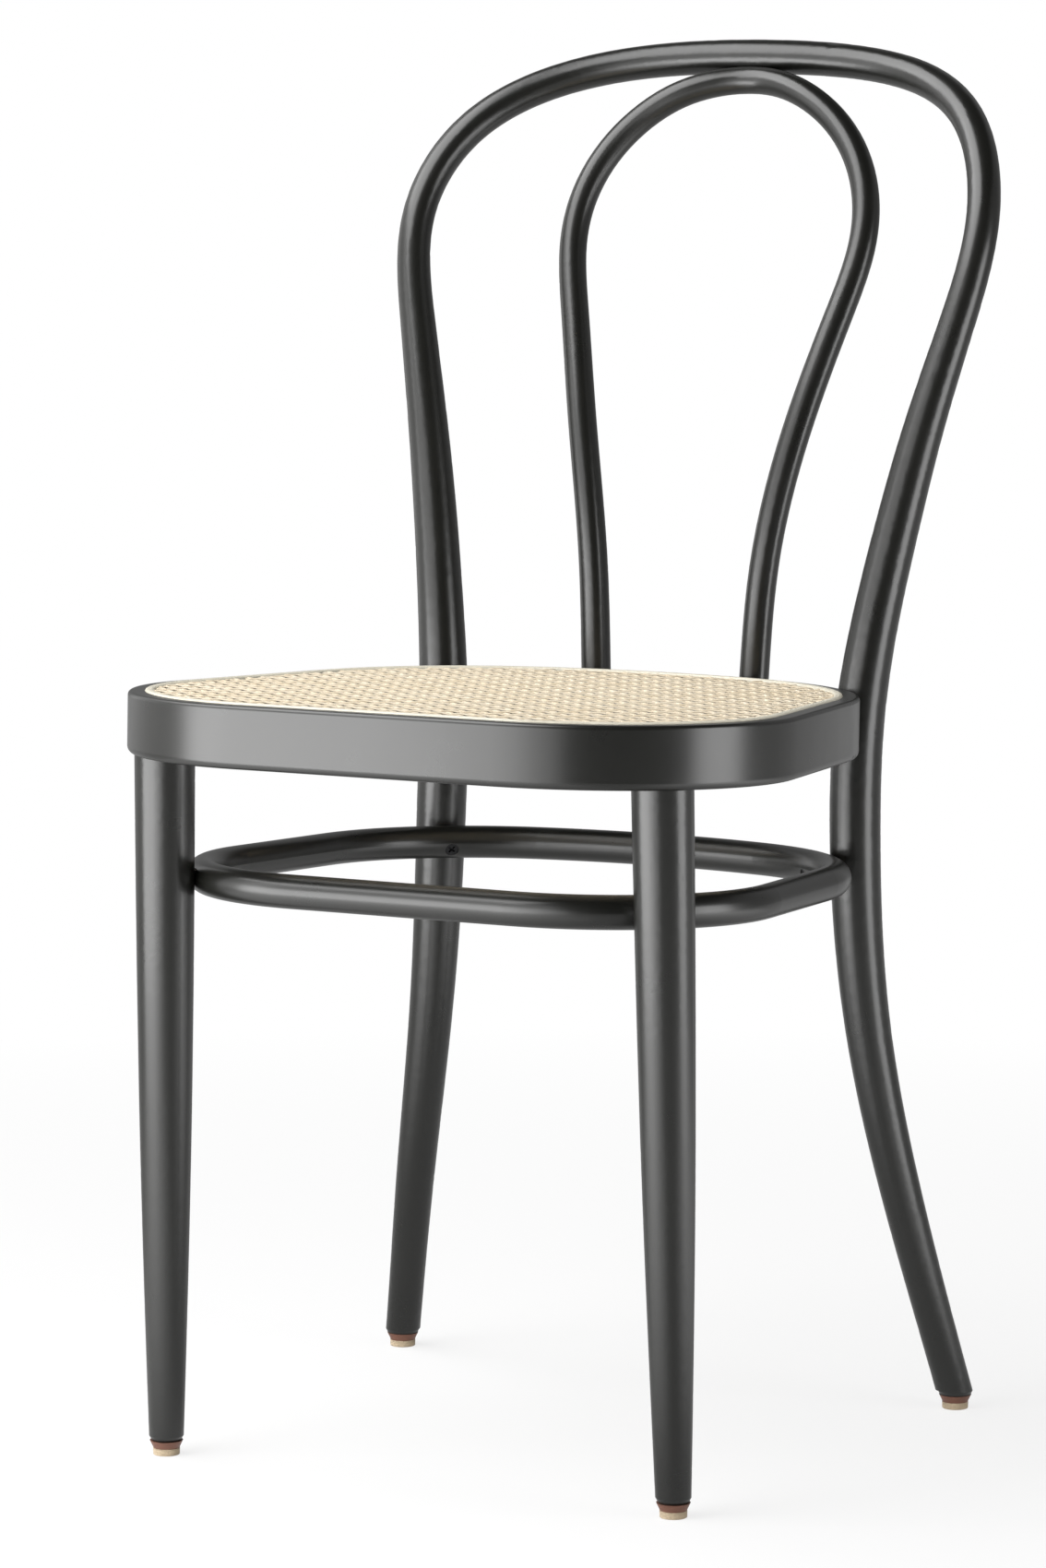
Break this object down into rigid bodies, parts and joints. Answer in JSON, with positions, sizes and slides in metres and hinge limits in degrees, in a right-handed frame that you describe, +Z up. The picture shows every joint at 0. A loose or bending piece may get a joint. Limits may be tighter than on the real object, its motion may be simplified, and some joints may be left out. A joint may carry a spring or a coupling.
{
  "type": "bentwood bistro chair",
  "caption": "Bistro chair of bent round wood in satin black, with a hoop back, an inner loop, a leg ring and a woven cane seat.",
  "frame": {"origin": "on the floor, under the middle of the chair's bounding box", "axes": "+Z up, -Y towards the front of the seat, +X towards the left front leg of the sitter"},
  "size_m": [0.423, 0.5362, 0.8498],
  "materials": {
    "black_lacquer": "satin black lacquer on bent beech",
    "cane": "natural woven cane",
    "reed": "smooth natural reed",
    "raw_beech": "unfinished beech",
    "black_screw": "black oxide steel",
    "zinc_steel": "zinc-plated steel",
    "glide_plastic": "matt brown plastic",
    "felt": "pressed wool felt"
  },
  "bodies": {
    "root": {"back_hoop": "black_lacquer", "inner_loop": "black_lacquer", "seat_ring": "black_lacquer", "leg_ring": "black_lacquer", "front_leg_left": "black_lacquer", "front_leg_right": "black_lacquer", "cane_panel": "cane", "cane_reed": "reed", "crown_dowel": "raw_beech", "hoop_screws": "black_screw", "loop_screws": "black_screw", "leg_ring_screws": "black_screw", "hoop_washers": "zinc_steel", "glide_nails": "zinc_steel", "glide_cup_front_left": "glide_plastic", "felt_pad_front_left": "felt", "glide_cup_front_right": "glide_plastic", "felt_pad_front_right": "felt", "glide_cup_rear_left": "glide_plastic", "felt_pad_rear_left": "felt", "glide_cup_rear_right": "glide_plastic", "felt_pad_rear_right": "felt"}
  },
  "joints": []
}
